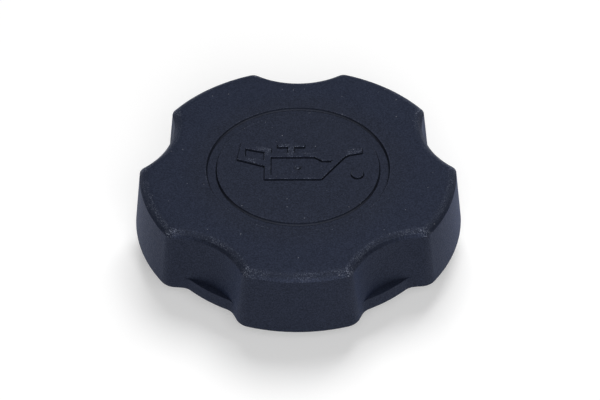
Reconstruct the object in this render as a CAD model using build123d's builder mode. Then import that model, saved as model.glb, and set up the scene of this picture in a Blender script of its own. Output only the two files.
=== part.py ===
from build123d import *
import os
from math import radians, tan

# Screw-in oil filler cap of a car engine: a moulded grip, skirt and hollow plug in one piece,
# and a flat rubber ring that seals it on the filler neck.
# Millimetres. +Z points up, out of the engine. The origin is on the cap's axis,
# level with the lower edge of the grip.

# Grip: a round knob with scallops for the fingers
lobes = 5
lobe_radius = 35.0
scallop_depth = 4.6
scallop_radius = 14.8
corner_radius = 2.2
grip_height = 14.0
draft_angle = 6.3
bevel_width = 1.15
bevel_drop = 1.2
bevel_softening = 2.5

# Base ring: the round foot of the skirt, which leaves a ledge at the foot of each scallop
ledge_width = 1.6
ring_height = 2.7
ring_blend = 3.0
ring_rebate_depth = 1.5

# Round groove in the top face
groove_radius = 19.5
groove_width = 2.3
groove_depth = 0.6
groove_draft = 20.0

# Dimple in the middle of the top face, where the plastic came into the mould
gate_radius = 0.8
gate_floor_radius = 0.4
gate_depth = 0.3

# Walls of the moulding
wall = 2.4
plate_thickness = 2.8
inner_corner_radius = 1.3

# Hollow plug, which carries the screw thread
plug_radius = 19.0
plug_wall = 2.3
plug_reach = 7.0
plug_lead_in = 1.0

# Sealing ring and its seat round the root of the plug
seal_width = 5.6
seal_thickness = 3.0
seal_edge_chamfer = 0.5
seal_seat_depth = 0.6
seal_clearance = 0.15

# Rim round the seal, and the ribs that tie it to the lobes
rim_thickness = 1.5
rim_depth = 2.0
rib_thickness = 1.6
rib_foot = 4.0

plate_underside = grip_height - plate_thickness
plate_middle = grip_height - plate_thickness / 2
hanging = (Align.CENTER, Align.CENTER, Align.MAX)
first_scallop_angle = 90.0
first_lobe_angle = first_scallop_angle + 180.0 / lobes
waist_radius = lobe_radius - scallop_depth
scallop_centre = waist_radius + scallop_radius
ring_radius = waist_radius + ledge_width
seal_seat_radius = plug_radius - seal_seat_depth
seal_inner_radius = seal_seat_radius + seal_clearance
seal_outer_radius = seal_inner_radius + seal_width
seal_foot = plate_underside - seal_thickness
rim_inner_radius = seal_outer_radius + seal_clearance
rim_outer_radius = rim_inner_radius + rim_thickness


def lobed_outline(inset, rounding):
    """A circle with a scallop cut between each two lobes, drawn in by inset, with its corners rounded."""
    with BuildSketch() as outline:
        Circle(lobe_radius - inset)
        with PolarLocations(scallop_centre, lobes, start_angle=first_scallop_angle):
            Circle(scallop_radius + inset, mode=Mode.SUBTRACT)
        fillet(outline.vertices(), rounding)
    return outline.sketch


def drafted(outline, height):
    """An outline raised to a height, with its sides leaning in by the draft."""
    with BuildPart() as form:
        extrude(outline, amount=height)
        sides = form.faces().filter_by(GeomType.CYLINDER)
        draft(sides, Plane.XY, draft_angle)
    return form.part


# The corner radii are those at the top. The walls lean out below it, so the corners are larger at the foot.
lean = tan(radians(draft_angle))
grip_outline = lobed_outline(0, corner_radius + grip_height * lean)
hollow_outline = lobed_outline(wall, inner_corner_radius + plate_underside * lean)

with BuildSketch() as ring_outline:
    add(grip_outline)
    Circle(ring_radius)
    joins = ring_outline.vertices().sort_by_distance((0, 0, 0))[: 2 * lobes]
    fillet(joins, ring_blend)

# One moulding: grip, skirt, rim, ribs and plug
with BuildPart() as cap_body:
    # Lobes and scallops, with a bevel round the top that meets the walls crisply and the top face softly
    add(drafted(grip_outline, grip_height))
    top_face = cap_body.faces().sort_by(Axis.Z)[-1]
    chamfer(top_face.edges(), bevel_width, bevel_drop, reference=top_face)
    bevelled_top = cap_body.faces().sort_by(Axis.Z)[-1]
    fillet(bevelled_top.edges(), bevel_softening)

    # Base ring, blended into the lobes
    add(drafted(ring_outline.sketch, ring_height))

    # Hollow inside: an even wall behind the lobes and scallops, and a rebate behind the base ring
    add(drafted(hollow_outline, plate_underside), mode=Mode.SUBTRACT)
    with BuildSketch():
        Circle(ring_radius - wall)
    extrude(amount=ring_rebate_depth, mode=Mode.SUBTRACT)

    # Groove round the middle of the top face, over the wall of the plug
    groove_lean = groove_depth * tan(radians(groove_draft))
    with BuildSketch(Plane.XZ):
        with BuildLine():
            Polyline(
                (groove_radius, grip_height),
                (groove_radius - groove_lean, grip_height - groove_depth),
                (groove_radius - groove_width + groove_lean, grip_height - groove_depth),
                (groove_radius - groove_width, grip_height),
                close=True,
            )
        make_face()
    revolve(axis=Axis.Z, mode=Mode.SUBTRACT)

    # Dimple of the gate
    with Locations((0, 0, grip_height)):
        Cone(gate_floor_radius, gate_radius, gate_depth, align=hanging, mode=Mode.SUBTRACT)

    # Boss under the plate, which becomes the rim round the seal
    with BuildSketch(Plane.XY.offset(plate_underside - rim_depth)):
        Circle(rim_outer_radius)
    extrude(amount=rim_depth)

    # A rib in each lobe, from the rim to the middle of the skirt's wall
    rib_end = lobe_radius - plate_underside * lean - wall / 2
    rib_start = rim_outer_radius - rim_thickness / 2
    with BuildSketch(Plane.XY.offset(rib_foot)):
        with PolarLocations((rib_start + rib_end) / 2, lobes, start_angle=first_lobe_angle):
            Rectangle(rib_end - rib_start, rib_thickness)
    extrude(amount=plate_underside - rib_foot)

    # Seat of the seal, bored up to the plate
    with BuildSketch():
        Circle(rim_inner_radius)
    extrude(amount=plate_underside, mode=Mode.SUBTRACT)

    # Hollow plug, necked at its root to hold the seal, with a lead-in at its end
    bore_radius = plug_radius - plug_wall
    with BuildSketch(Plane.XZ):
        with BuildLine():
            Polyline(
                (bore_radius, plate_underside),
                (bore_radius, -plug_reach),
                (plug_radius - plug_lead_in, -plug_reach),
                (plug_radius, plug_lead_in - plug_reach),
                (plug_radius, seal_foot),
                (seal_seat_radius, seal_foot),
                (seal_seat_radius, plate_middle),
                (bore_radius, plate_middle),
                close=True,
            )
        make_face()
    revolve(axis=Axis.Z)

# Rubber ring, flat against the grip's underside and held by the neck of the plug
with BuildPart() as sealing_ring:
    with BuildSketch(Plane.XY.offset(seal_foot)):
        Circle(seal_outer_radius)
        Circle(seal_inner_radius, mode=Mode.SUBTRACT)
    extrude(amount=seal_thickness)
    ring_edges = sealing_ring.edges().filter_by(GeomType.CIRCLE)
    chamfer(ring_edges, seal_edge_chamfer)

cap_body.part.label = "cap_body"
sealing_ring.part.label = "sealing_ring"

os.makedirs("parts", exist_ok=True)
export_step(cap_body.part, "parts/cap_body.step")
export_step(sealing_ring.part, "parts/sealing_ring.step")
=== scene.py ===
from math import cos, pi, radians, sin
from types import SimpleNamespace

import bpy
import numpy as np
from mathutils import Matrix, Vector
from mathutils.geometry import tessellate_polygon


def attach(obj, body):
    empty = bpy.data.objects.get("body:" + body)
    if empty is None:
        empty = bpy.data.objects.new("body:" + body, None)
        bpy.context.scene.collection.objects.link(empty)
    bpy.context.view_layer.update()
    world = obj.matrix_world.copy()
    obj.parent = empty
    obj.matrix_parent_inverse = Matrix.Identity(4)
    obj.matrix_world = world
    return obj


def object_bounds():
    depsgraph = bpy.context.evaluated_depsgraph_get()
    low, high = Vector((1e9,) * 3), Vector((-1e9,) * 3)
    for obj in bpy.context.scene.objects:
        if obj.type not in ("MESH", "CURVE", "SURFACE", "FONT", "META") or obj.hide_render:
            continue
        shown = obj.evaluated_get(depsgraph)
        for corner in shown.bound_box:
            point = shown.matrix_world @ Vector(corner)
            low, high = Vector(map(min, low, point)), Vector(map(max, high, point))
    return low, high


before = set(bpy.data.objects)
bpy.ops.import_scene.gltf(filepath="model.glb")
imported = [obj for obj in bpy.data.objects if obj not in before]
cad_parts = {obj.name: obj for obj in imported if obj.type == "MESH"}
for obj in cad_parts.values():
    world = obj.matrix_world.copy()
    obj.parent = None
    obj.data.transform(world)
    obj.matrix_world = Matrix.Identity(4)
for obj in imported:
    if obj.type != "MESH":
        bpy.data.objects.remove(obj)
cad_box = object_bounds()


# Cap body: the grip, skirt and hollow plug of an engine's oil filler cap, one moulding of black nylon.
# The mould was spark eroded, which leaves a fine matt grain. Dust lies on the upper faces, painted shade
# darkens the creases of the top, and hands have rubbed the bevel, the corners of the lobes and the sign.
# The specks over the front lobe's whole bevel and on the groove's rims are partly a painted highlight, and
# a paler colour at the foot of the groove's front and back walls is painted light.

mm = 0.001
grip_top = 14.0 * mm
bevel_foot = 12.4 * mm
sign_level = 14.1 * mm
groove_rims = (17.2 * mm, 19.55 * mm)
rim_width = (0.05 * mm, 0.2 * mm)
groove_floor = 18.0 * mm
groove_outside = 20.0 * mm
# Distances from the middle, front and back, over which the painted crease shade fades and painted light
# lies on the groove's walls
lit_ends = (5 * mm, 14 * mm)
front_lobe = (-30 * mm, -25 * mm)
gate_spot = (0.12 * mm, 0.34 * mm)
lobes = 5
lobe_corner = 0.255
corner_width = 0.045

plastic_colour = (0.0074, 0.0086, 0.0125, 1)
# Pale colour of worn specks, also used for painted highlights and painted light on the top
worn_and_lit_colour = (0.200, 0.220, 0.280, 1)
dust_colour = (0.26, 0.27, 0.30, 1)
skin_roughness = (0.60, 0.70)
bevel_roughness = 0.50
skin_specular = 0.42
skin_specular_tint = (0.47, 0.58, 1.0, 1)
skin_sheen = 0.07
skin_sheen_tint = (0.05, 0.25, 1.0, 1)
grain_depth = 0.08 * mm
edge_rounding = 0.08 * mm
crease_reach = 0.25 * mm

# Amounts of wear, painted highlight, painted light and shade, and dust, from 0 to 1
patch_wear_and_highlight = (0.1, 0.32)
least_wear = 0.02
raised_wear = 0.7
corner_wear = 0.75
scuff_wear = 0.3
gate_wear = 0.5
# Painted light at the foot of the groove's walls
wall_light = 0.24
end_share = 0.75
skin_dust = 0.7
crease_shade = 0.05

# Waves per metre of the patterns on the skin
lump_waves = 7000.0
speck_waves = 4200.0
glint_waves = 3600.0
scuff_waves = 300.0
patch_waves = 150.0
mottle_waves = 110.0

# Tilts of the moulding's faces: 1 on a level face, 0 on an upright wall
level_tilts = (0.9, 0.99)
wall_tilts = (0.5, 0.9)
top_tilts = (0.955, 0.995)
bevel_tilts = (0.4, 0.6)
smooth_tilts = ((0.3, 0.6), (0.72, 0.9))
# Lowest tilt that the specks reach, lower on the front lobe, where they are a painted highlight
wear_and_highlight_tilts = (0.48, 0.72)
rubbed_most = 0.80


def add_node(tree, kind, **settings):
    """A shader node of one kind. Settings are its own properties."""
    made = tree.nodes.new(kind)
    for name, value in settings.items():
        setattr(made, name, value)
    return made


def wire(tree, source, target):
    """Links an output socket, or sets a plain value, on an input socket."""
    if isinstance(source, bpy.types.NodeSocket):
        tree.links.new(source, target)
    else:
        target.default_value = source


def calculate(tree, operation, first, second=0.0, clamp=False):
    """The output of a Math node."""
    made = add_node(tree, "ShaderNodeMath", operation=operation, use_clamp=clamp)
    wire(tree, first, made.inputs[0])
    wire(tree, second, made.inputs[1])
    return made.outputs[0]


def product(tree, first, *others):
    """Several values multiplied."""
    for other in others:
        first = calculate(tree, "MULTIPLY", first, other)
    return first


def total(tree, first, *others):
    """Several masks added and held at 1."""
    for other in others:
        first = calculate(tree, "ADD", first, other, clamp=True)
    return first


def apart(tree, value, mark):
    """How far a value is from a mark, either way."""
    return calculate(tree, "ABSOLUTE", calculate(tree, "SUBTRACT", value, mark))


def spread(tree, value, low, high, to_low=0.0, to_high=1.0):
    """A value stretched from one range to another and held inside it."""
    made = add_node(tree, "ShaderNodeMapRange", interpolation_type="SMOOTHSTEP")
    for socket, amount in zip(made.inputs, (value, low, high, to_low, to_high)):
        wire(tree, amount, socket)
    return made.outputs["Result"]


def band(tree, value, rise, fall):
    """A mask that grows over the first range of a value and fades over the second."""
    return product(tree, spread(tree, value, *rise), spread(tree, value, *fall, 1.0, 0.0))


def split(tree, vector):
    """The three parts of a vector."""
    made = add_node(tree, "ShaderNodeSeparateXYZ")
    wire(tree, vector, made.inputs["Vector"])
    return made.outputs["X"], made.outputs["Y"], made.outputs["Z"]


def noise(tree, place, scale, detail, roughness=0.5):
    """The value of a noise texture, from 0 to 1 and mostly near 0.5. Scale is in waves per metre."""
    made = add_node(tree, "ShaderNodeTexNoise")
    wire(tree, place, made.inputs["Vector"])
    wire(tree, scale, made.inputs["Scale"])
    made.inputs["Detail"].default_value = detail
    made.inputs["Roughness"].default_value = roughness
    return made.outputs["Fac"]


def blend_colours(tree, mask, first, second):
    """The first colour where the mask is 0 and the second where it is 1."""
    made = add_node(tree, "ShaderNodeMix", data_type="RGBA")
    wire(tree, mask, made.inputs["Factor"])
    wire(tree, first, made.inputs["A"])
    wire(tree, second, made.inputs["B"])
    return made.outputs["Result"]


def new_group(name, inputs, outputs):
    """An empty shader node group with float sockets, and its input and output nodes."""
    tree = bpy.data.node_groups.new(name, "ShaderNodeTree")
    for socket, value in inputs.items():
        made = tree.interface.new_socket(socket, in_out="INPUT", socket_type="NodeSocketFloat")
        made.default_value = value
    for socket in outputs:
        tree.interface.new_socket(socket, in_out="OUTPUT", socket_type="NodeSocketFloat")
    return tree, add_node(tree, "NodeGroupInput"), add_node(tree, "NodeGroupOutput")


def use_group(tree, group, **inputs):
    """A group placed in a material, with its own values."""
    made = add_node(tree, "ShaderNodeGroup", node_tree=group)
    for name, value in inputs.items():
        made.inputs[name.capitalize()].default_value = value
    return made


def spark_grain_group():
    """Height of a spark-eroded skin: rough noise with small craters pressed into it, and a slow mottle."""
    tree, given, result = new_group("spark_grain", {"Grain": 2800.0}, ("Height", "Mottle"))
    place = add_node(tree, "ShaderNodeTexCoord").outputs["Object"]
    rough = noise(tree, place, given.outputs["Grain"], 3.0, 0.6)
    crater = add_node(tree, "ShaderNodeTexVoronoi", feature="SMOOTH_F1")
    wire(tree, place, crater.inputs["Vector"])
    wire(tree, given.outputs["Grain"], crater.inputs["Scale"])
    pressed = product(tree, crater.outputs["Distance"], 0.5)
    wire(tree, calculate(tree, "ADD", rough, pressed), result.inputs["Height"])
    wire(tree, noise(tree, place, mottle_waves, 3.0, 0.6), result.inputs["Mottle"])
    return tree


def dust_group():
    """Mask of loose specks: a lumpy dot in a few of the cells of a fine cell pattern, on what faces up."""
    tree, given, result = new_group("dust_specks", {"Cells": 850.0, "Share": 0.2}, ("Mask",))
    place = add_node(tree, "ShaderNodeTexCoord").outputs["Object"]
    cells = add_node(tree, "ShaderNodeTexVoronoi", feature="F1")
    wire(tree, place, cells.inputs["Vector"])
    wire(tree, given.outputs["Cells"], cells.inputs["Scale"])
    pick = add_node(tree, "ShaderNodeSeparateColor")
    wire(tree, cells.outputs["Color"], pick.inputs["Color"])
    chosen = calculate(tree, "LESS_THAN", pick.outputs["Red"], given.outputs["Share"])
    size = spread(tree, pick.outputs["Green"], 0.0, 1.0, 0.03, 0.09)
    lump = spread(tree, noise(tree, place, lump_waves, 1.0), 0.3, 0.7, 0.5, 1.6)
    inside = calculate(tree, "LESS_THAN", product(tree, cells.outputs["Distance"], lump), size)
    tilt = split(tree, add_node(tree, "ShaderNodeNewGeometry").outputs["Normal"])[2]
    wire(tree, product(tree, chosen, inside, spread(tree, tilt, 0.2, 0.8)), result.inputs["Mask"])
    return tree


spark_grain = spark_grain_group()
dust_specks = dust_group()


def new_material(name):
    """A material with an empty tree, its Principled shader and the tree."""
    material = bpy.data.materials.new(name)
    material.use_nodes = True
    tree = material.node_tree
    tree.nodes.clear()
    shader = add_node(tree, "ShaderNodeBsdfPrincipled")
    output = add_node(tree, "ShaderNodeOutputMaterial")
    wire(tree, shader.outputs["BSDF"], output.inputs["Surface"])
    return material, tree, shader


def add_relief(tree, shader, height, depth, edge_radius):
    """Bump of a height from 0 to 1, over normals that are rounded at sharp edges."""
    rounded = add_node(tree, "ShaderNodeBevel", samples=4)
    rounded.inputs["Radius"].default_value = edge_radius
    bump = add_node(tree, "ShaderNodeBump")
    bump.inputs["Distance"].default_value = depth
    wire(tree, height, bump.inputs["Height"])
    wire(tree, rounded.outputs["Normal"], bump.inputs["Normal"])
    wire(tree, bump.outputs["Normal"], shader.inputs["Normal"])


def find_surface(tree):
    """What the masks of the moulding share: a point's place, its reach from the axis and its face's tilt.

    Upper is 1 from the bevel up, and ends is largest at the front and back of the top. Patches and specks
    are the slow and the fine pattern of the wear and of the painted highlight.
    """
    place = add_node(tree, "ShaderNodeTexCoord").outputs["Object"]
    normal = add_node(tree, "ShaderNodeNewGeometry").outputs["Normal"]
    x, y, z = split(tree, place)
    squared = calculate(tree, "ADD", product(tree, x, x), product(tree, y, y))
    return SimpleNamespace(
        place=place,
        x=x,
        y=y,
        z=z,
        reach=calculate(tree, "SQRT", squared),
        tilt=split(tree, normal)[2],
        upper=spread(tree, z, bevel_foot, bevel_foot + 0.5 * mm),
        ends=spread(tree, calculate(tree, "ABSOLUTE", y), *lit_ends, 0.0, end_share),
        patches=spread(tree, noise(tree, place, patch_waves, 1.0), 0.42, 0.6, *patch_wear_and_highlight),
        specks=spread(tree, noise(tree, place, speck_waves, 2.0, 0.6), 0.52, 0.64),
    )


def edge_wear_and_highlight(tree, at):
    """Mask of the bevel where hands rub it: specks in patches on its shoulder, and dense at the corners.

    On the front lobe the specks cover the whole bevel and are a painted highlight there, and on the rest
    they lie only near the top face. A turn is counted in lobes from the middle of the front one, and folded
    so that every corner has the same value.
    """
    # The specks reach down the front lobe's whole bevel as a painted highlight.
    wear_and_highlight_from = spread(tree, at.y, *front_lobe, *wear_and_highlight_tilts)
    shoulder = band(tree, at.tilt, (wear_and_highlight_from, rubbed_most), top_tilts)
    raised = spread(tree, at.z, sign_level, sign_level + 0.1 * mm, 0.0, raised_wear)
    amount = calculate(tree, "MAXIMUM", raised, at.patches)
    spotted = calculate(tree, "MAXIMUM", product(tree, amount, at.specks), least_wear)
    on_shoulder = product(tree, shoulder, spotted)
    angle = calculate(tree, "ARCTAN2", at.y, at.x)
    turn = calculate(tree, "ADD", product(tree, angle, lobes / (2 * pi)), lobes / 4)
    beside = apart(tree, calculate(tree, "PINGPONG", turn, 0.5), lobe_corner)
    corner = spread(tree, beside, 0.0, corner_width, corner_wear, 0.0)
    on_corners = product(tree, band(tree, at.tilt, bevel_tilts, top_tilts), corner, at.specks)
    return product(tree, calculate(tree, "MAXIMUM", on_shoulder, on_corners), at.upper)


def scuffs_and_rim_highlight(tree, at):
    """Mask of the specks on the rims of the groove, partly wear and partly a painted highlight of their
    edges, and of the scuffs on the flats of the sign.
    """
    inner_rim, outer_rim = [
        spread(tree, apart(tree, at.reach, rim), *rim_width, 1.0, 0.0)
        for rim in groove_rims
    ]
    level_top = product(tree, spread(tree, at.tilt, *level_tilts), at.upper)
    # Specks on the groove's rims: wear, and a painted highlight of the rims' edges.
    rim_wear_and_highlight = product(tree, total(tree, inner_rim, outer_rim), at.patches, level_top, at.specks)
    sign_flats = spread(tree, at.z, sign_level + 0.2 * mm, sign_level + 0.3 * mm)
    scuffs = spread(tree, noise(tree, at.place, scuff_waves, 1.0), 0.5, 0.62, 0.0, scuff_wear)
    return total(tree, rim_wear_and_highlight, product(tree, sign_flats, scuffs, at.specks))


def gate_wear_and_wall_light(tree, at):
    """Mask of the torn gate, and of painted light: a paler colour at the foot of the groove's walls at the
    front and back of the top.
    """
    torn = product(tree, spread(tree, at.reach, *gate_spot, gate_wear, 0.0), at.upper)
    walls = product(tree, spread(tree, at.tilt, *wall_tilts, 1.0, 0.0), at.upper)
    inside = spread(tree, at.reach, groove_outside, groove_outside + 1 * mm, 1.0, 0.0)
    foot = spread(tree, at.z, grip_top - 0.5 * mm, grip_top - 0.15 * mm, wall_light, 0.0)
    return total(tree, torn, product(tree, at.ends, walls, inside, foot))


def painted_crease_shade(tree, at):
    """Mask of painted shade, found by ambient occlusion: it falls in the creases of the top, least at its
    front and back, and not at all beyond the groove.
    """
    crease = add_node(tree, "ShaderNodeAmbientOcclusion", samples=8)
    crease.inputs["Distance"].default_value = crease_reach
    opened = spread(tree, crease.outputs["AO"], 0.6, 0.97, crease_shade, 1.0)
    outside = spread(tree, at.reach, groove_floor, groove_outside + 1 * mm)
    return calculate(tree, "MAXIMUM", opened, calculate(tree, "MAXIMUM", at.ends, outside))


def moulded_plastic():
    """Black nylon: a grained skin with a bluish gloss, smoother on the bevel, with painted crease shade,
    wear, painted highlight and light, and dust.
    """
    material, tree, shader = new_material("moulded_plastic")
    grain = use_group(tree, spark_grain)
    dust = use_group(tree, dust_specks)
    at = find_surface(tree)
    # clear is the painted crease shade: low in the creases of the top and 1 elsewhere.
    clear = painted_crease_shade(tree, at)

    mottle = spread(tree, grain.outputs["Mottle"], 0.3, 0.7, 0.92, 1.08)
    # The plastic's colour, mottled and darkened in the creases by the painted shade.
    plain = add_node(tree, "ShaderNodeVectorMath", operation="SCALE")
    plain.inputs[0].default_value = plastic_colour[:3]
    wire(tree, product(tree, mottle, clear), plain.inputs["Scale"])
    # The pale marks: real wear and the torn gate, with a painted highlight on the front bevel and the
    # groove's rims, and painted light on the groove's walls.
    wear = total(tree, edge_wear_and_highlight(tree, at), scuffs_and_rim_highlight(tree, at), gate_wear_and_wall_light(tree, at))
    worn_and_lit = blend_colours(tree, wear, plain.outputs[0], worn_and_lit_colour)
    dusty = blend_colours(tree, product(tree, dust.outputs["Mask"], skin_dust), worn_and_lit, dust_colour)
    wire(tree, dusty, shader.inputs["Base Color"])

    bevel = product(tree, band(tree, at.tilt, *smooth_tilts), at.upper)
    matt = spread(tree, grain.outputs["Height"], 0.4, 1.0, *skin_roughness)
    wire(tree, spread(tree, bevel, 0.0, 1.0, matt, bevel_roughness), shader.inputs["Roughness"])
    glints = noise(tree, at.place, glint_waves, 2.0, 0.6)
    gloss = spread(tree, glints, 0.3, 0.7, 0.6 * skin_specular, 1.4 * skin_specular)
    # The painted crease shade also dims the gloss and the sheen in the creases.
    wire(tree, product(tree, clear, gloss), shader.inputs["Specular IOR Level"])
    shader.inputs["Specular Tint"].default_value = skin_specular_tint
    sheen = spread(tree, at.reach, groove_outside, groove_outside + 6 * mm, 0.0, skin_sheen)
    wire(tree, product(tree, clear, sheen), shader.inputs["Sheen Weight"])
    shader.inputs["Sheen Tint"].default_value = skin_sheen_tint
    add_relief(tree, shader, grain.outputs["Height"], grain_depth, edge_rounding)
    return material


plastic = moulded_plastic()
cap_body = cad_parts["cap_body"]
cap_body.data.materials.clear()
cap_body.data.materials.append(plastic)


# Screw thread: one coarse ridge of the same nylon, moulded round the outside of the plug, with run-outs
# at both ends. It draws the cap down on the filler neck in about two turns.

plug_radius = 19.0 * mm
thread_pitch = 4.0 * mm
thread_height = 1.25 * mm
thread_foot = -5.2 * mm
thread_turns = 2.4
thread_run_out = 0.1
thread_root_width = 2.2 * mm
thread_crest_width = 0.8 * mm
thread_rounding = 0.12 * mm
thread_sunk = 0.15 * mm


def grid_faces(rows, columns):
    """Quads between neighbouring rows of a grid whose rows are closed rings."""
    row = np.arange(rows - 1)[:, None] * columns
    column = np.arange(columns)[None, :]
    beside = (column + 1) % columns
    quads = np.stack([row + column, row + beside, row + columns + beside, row + columns + column], axis=-1)
    return quads.reshape(-1, 4).tolist()


def add_piece(name, points, faces, material, slot, smooth=True):
    """A mesh object at the origin that rides on the cap and takes the given material. The slot is not used.
    """
    mesh = bpy.data.meshes.new(name)
    mesh.from_pydata(points.reshape(-1, 3).tolist(), [], faces)
    mesh.polygons.foreach_set("use_smooth", np.full(len(mesh.polygons), smooth))
    mesh.materials.append(material)
    piece = bpy.data.objects.new(name, mesh)
    bpy.context.scene.collection.objects.link(piece)
    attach(piece, "root")


def thread_surface(steps=360):
    """A trapezium carried up a helix: radius R + height x run-out, level foot + pitch x turn + side.

    The run-out falls smoothly from 1 to 0 towards each end, where the ridge sinks into the plug.
    """
    root = thread_root_width / 2
    crest = thread_crest_width / 2
    soft = thread_rounding
    out = np.array([-thread_sunk, 0, soft, thread_height - soft, thread_height])
    across = np.array([root, root, root - soft, crest + soft, crest - soft])
    rise = np.concatenate([out, out[::-1]])[None, :]
    side = np.concatenate([-across, across[::-1]])[None, :]
    turn = np.linspace(0, thread_turns, steps)[:, None]
    ends = np.clip(np.minimum(turn, thread_turns - turn) / thread_run_out, 0, 1)
    run_out = ends * ends * (3 - 2 * ends)
    radius = plug_radius + np.where(rise > 0, rise * run_out, rise)
    radius = radius - thread_sunk * (1 - run_out) * (rise > -thread_sunk / 2)
    angle = 2 * pi * turn
    level = thread_foot + thread_pitch * turn + side
    points = np.stack([radius * np.cos(angle), radius * np.sin(angle), level], axis=-1)
    count = rise.size
    lower_end = list(range(count))
    upper_end = [(steps - 1) * count + k for k in range(count)]
    flanks = [face[::-1] for face in grid_faces(steps, count)]
    return points, flanks + [lower_end, upper_end[::-1]]


add_piece("screw_thread", *thread_surface(), plastic, "moulded_plastic")


# Sealing ring: a flat ring of black nitrile rubber, stretched over the neck of the plug under the grip.
# It is moulded smooth, with a faint bloom on its faces.

rubber_colour = (0.012, 0.012, 0.013, 1)
bloom_colour = (0.030, 0.030, 0.031, 1)
rubber_roughness = (0.48, 0.62)
rubber_specular = 0.4
rubber_grain_depth = 0.01 * mm
rubber_edge_rounding = 0.15 * mm
rubber_dust = 0.4


def seal_rubber():
    """Smooth black rubber, with a pale bloom in slow patches and some dust."""
    material, tree, shader = new_material("seal_rubber")
    grain = use_group(tree, spark_grain, grain=1500.0)
    dust = use_group(tree, dust_specks)
    patches = spread(tree, grain.outputs["Mottle"], 0.42, 0.7)
    bloomed = blend_colours(tree, patches, rubber_colour, bloom_colour)
    dusty = blend_colours(tree, product(tree, dust.outputs["Mask"], rubber_dust), bloomed, dust_colour)
    wire(tree, dusty, shader.inputs["Base Color"])
    wire(tree, spread(tree, patches, 0.0, 1.0, *rubber_roughness), shader.inputs["Roughness"])
    shader.inputs["Specular IOR Level"].default_value = rubber_specular
    add_relief(tree, shader, grain.outputs["Height"], rubber_grain_depth, rubber_edge_rounding)
    return material


sealing_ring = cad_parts["sealing_ring"]
sealing_ring.data.materials.clear()
sealing_ring.data.materials.append(seal_rubber())


# Raised sign: the usual oil can and drop, cut into the mould so that they stand a little proud of the top.
# The can is one outline with two openings, the handle and the recess of its body.

sign_height = 0.42 * mm
sign_lean = 0.07 * mm
sign_round = 0.14 * mm
sign_sunk = 0.05 * mm
sign_place = mm * np.array([0.0, 0.15])

can_outline = mm * np.array([
    (-7.1, -4.1), (5.0, -4.1), (10.0, 2.9), (11.0, 3.5), (13.75, 4.15), (13.6, 5.75), (10.4, 5.0),
    (8.9, 3.7), (8.4, 3.0), (5.7, 3.0), (4.05, 4.2), (-0.8, 4.2), (-0.8, 6.05), (1.45, 6.05),
    (1.45, 7.0), (-4.35, 7.0), (-4.35, 6.05), (-2.15, 6.05), (-2.15, 4.2), (-5.75, 4.2), (-5.75, 5.65),
    (-12.2, 7.4), (-12.95, 2.15), (-7.1, 0.0),
])
handle_opening = mm * np.array([(-11.2, 5.55), (-7.2, 4.43), (-7.2, 1.8), (-11.3, 3.1)])
body_recess = mm * np.array([
    (-5.75, 2.85), (3.5, 2.85), (5.1, 1.62), (7.3, 1.62), (4.2, -2.8), (-5.75, -2.8),
])
drop_middle = mm * np.array([12.55, -2.1])
drop_half_width = 1.50 * mm
drop_half_length = 1.72 * mm


def drop_outline(corners=48):
    """A drop: across, width x sine of the turn x root of the sine of half of it; along, length x cosine."""
    turn = np.linspace(0, 2 * pi, corners + 1)[1:, None]
    across = -drop_half_width * np.sin(turn) * np.sqrt(np.sin(turn / 2))
    along = drop_half_length * np.cos(turn)
    return drop_middle + np.hstack([across, along])


def move_out(outline, distance):
    """Each corner moved along its mitre, so that every side of a closed outline moves out by distance."""
    along = np.roll(outline, -1, axis=0) - outline
    away = np.stack([along[:, 1], -along[:, 0]], axis=1)
    away /= np.linalg.norm(away, axis=1, keepdims=True)
    last = np.roll(away, 1, axis=0)
    mitre = (away + last) / (1 + np.sum(away * last, axis=1, keepdims=True))
    return outline + distance * mitre


def raised_shape(outlines):
    """A flat top inside the first outline and outside the others, with a profile carried round each.

    The profile is a steep wall, out by the lean at its foot, and a quarter-round shoulder.
    """
    turn = np.linspace(0, pi / 2, 5)
    shoulder = sign_round * np.column_stack([np.cos(turn) - 1, np.sin(turn) - 1]) + [0, sign_height]
    profile = np.vstack([[sign_lean, -sign_sunk], shoulder])
    points, faces, rims, first = [], [], [], 0
    for outline in outlines:
        placed = outline + sign_place
        rows = [
            np.column_stack([move_out(placed, out), np.full(len(placed), grip_top + up)])
            for out, up in profile
        ]
        points += rows
        faces += [[first + k for k in face] for face in grid_faces(len(rows), len(placed))]
        rims.append((first + (len(rows) - 1) * len(placed), rows[-1]))
        first += len(rows) * len(placed)
    number = np.concatenate([start + np.arange(len(rim)) for start, rim in rims])
    corners = np.concatenate([rim for start, rim in rims])
    for a, b, c in tessellate_polygon([[Vector(p) for p in rim] for start, rim in rims]):
        faces_up = np.cross(corners[b] - corners[a], corners[c] - corners[a])[2] > 0
        faces.append([int(number[k]) for k in ((a, b, c) if faces_up else (a, c, b))])
    return np.concatenate(points), faces


can_surface = raised_shape([can_outline, handle_opening, body_recess])
drop_surface = raised_shape([drop_outline()])
add_piece("can_sign", *can_surface, plastic, "moulded_plastic", smooth=False)
add_piece("drop_sign", *drop_surface, plastic, "moulded_plastic", smooth=False)


# Gate stub: the torn end of the plastic that filled the mould, left standing in the dimple in the middle
# of the top. It broke off short and slanted when the cap left the mould.

stub_radius = 0.3 * mm
stub_height = 0.28 * mm
stub_slant = 0.3
stub_ripple = 0.12
stub_lump = 0.3
stub_place = mm * np.array([0.15, -0.15])
stub_foot = 13.65 * mm


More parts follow.
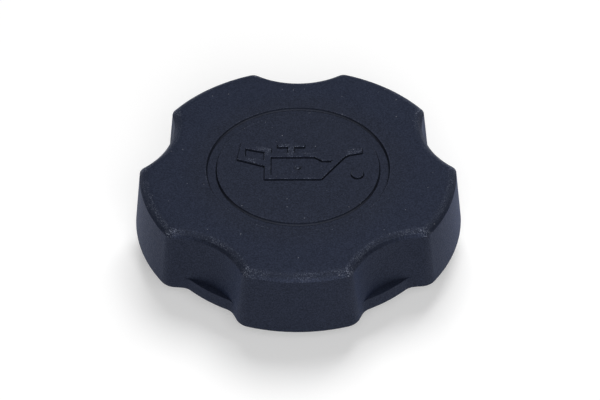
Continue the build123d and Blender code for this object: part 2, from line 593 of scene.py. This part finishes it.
def stub_surface(rings=8, spokes=20):
    """A torn nub: radius r x (1 + ripple), level foot + h x (1 - r to the fourth) x lumps + slant x X."""
    reach = np.linspace(1, 0.02, rings)[:, None]
    turn = np.linspace(0, 2 * pi, spokes, endpoint=False)[None, :]
    radius = stub_radius * reach * (1 + stub_ripple * np.sin(3 * turn + 1))
    x = radius * np.cos(turn)
    y = radius * np.sin(turn)
    lumps = 1 + stub_lump * np.sin(2 * turn + 0.5) * reach
    level = stub_foot + stub_height * (1 - reach**4) * lumps + stub_slant * x
    points = np.stack([stub_place[0] + x, stub_place[1] + y, level], axis=-1)
    tip = [(rings - 1) * spokes + k for k in range(spokes)]
    return points, grid_faces(rings, spokes) + [tip]


add_piece("gate_stub", *stub_surface(), plastic, "moulded_plastic")


# Table: a plain pale top on which the cap stands on the end of its plug.
# It shows white from where one stands, and keeps the cap's soft shadow.

table_level = cad_box[0].z
table_radius = 4.0
table_colour = (0.80, 0.80, 0.80, 1)
table_roughness = 0.9
table_specular = 0.1
table_glow = 0.30


def table_material():
    """Matt white, with a little light of its own for what the eye and a mirror see."""
    material, tree, shader = new_material("white_table")
    shader.inputs["Base Color"].default_value = table_colour
    shader.inputs["Roughness"].default_value = table_roughness
    shader.inputs["Specular IOR Level"].default_value = table_specular
    path = add_node(tree, "ShaderNodeLightPath")
    seen = calculate(tree, "MAXIMUM", path.outputs["Is Camera Ray"], path.outputs["Is Glossy Ray"])
    seen = calculate(tree, "MAXIMUM", seen, path.outputs["Is Transmission Ray"])
    shader.inputs["Emission Color"].default_value = (1, 1, 1, 1)
    wire(tree, product(tree, seen, table_glow), shader.inputs["Emission Strength"])
    return material


def table_rim(spokes=64):
    """The edge of a round top: radius times the cosine and sine of the turn."""
    turn = np.linspace(0, 2 * pi, spokes, endpoint=False)
    x = table_radius * np.cos(turn)
    y = table_radius * np.sin(turn)
    return np.column_stack([x, y, np.full(spokes, table_level)])


table_mesh = bpy.data.meshes.new("table")
table_edge = table_rim()
table_mesh.from_pydata(table_edge.tolist(), [], [list(range(len(table_edge)))])
table_mesh.materials.append(table_material())
table = bpy.data.objects.new("table", table_mesh)
bpy.context.scene.collection.objects.link(table)


# Light: a dim pale studio, with one large soft box over the back of the cap and one in front of it.
# Both point at the middle of the cap, and what they leave dark is the side walls.

studio_light = 0.06
box_size = 0.4
box_places = {"back_box": Vector((0.06, 0.25, 0.6)), "front_box": Vector((0.04, -0.52, 0.38))}
box_watts = {"back_box": 2.9, "front_box": 2.5}

world = bpy.data.worlds.new("studio")
bpy.context.scene.world = world
world.use_nodes = True
sky = world.node_tree.nodes["Background"]
sky.inputs["Color"].default_value = (1, 1, 1, 1)
sky.inputs["Strength"].default_value = studio_light

for name, place in box_places.items():
    lamp = bpy.data.lights.new(name, "AREA")
    lamp.shape = "SQUARE"
    lamp.size = box_size
    lamp.energy = box_watts[name]
    soft_box = bpy.data.objects.new(name, lamp)
    soft_box.location = place
    soft_box.rotation_euler = place.to_track_quat("Z", "Y").to_euler()
    bpy.context.scene.collection.objects.link(soft_box)


# Camera: a long lens that looks down on the cap from in front.
# It leans very slightly to one side, and its frame is shifted a little.

look_at = Vector((0, 0, 7 * mm))
look_down = radians(42.544)
look_round = radians(0.52)
look_lean = radians(0.559)
look_distance = 525.73 * mm

back = Vector((0, -cos(look_down), sin(look_down)))
across = Vector((1, 0, 0))
upward = Vector((0, sin(look_down), cos(look_down)))
swing = Matrix.Rotation(look_round, 3, "Z")
side = swing @ (cos(look_lean) * across - sin(look_lean) * upward)
top = swing @ (sin(look_lean) * across + cos(look_lean) * upward)
pose = Matrix((side, top, swing @ back)).transposed().to_4x4()
pose.translation = swing @ (look_at + look_distance * back)

lens = bpy.data.cameras.new("camera")
lens.sensor_fit = "HORIZONTAL"
lens.sensor_width = 36.0
lens.lens = 147.53
lens.shift_x = 0.0030
lens.shift_y = -0.0137
lens.clip_start = 0.01
lens.clip_end = 20.0
camera = bpy.data.objects.new("camera", lens)
camera.matrix_world = pose
bpy.context.scene.collection.objects.link(camera)
bpy.context.scene.camera = camera
bpy.context.scene.view_settings.view_transform = "Standard"
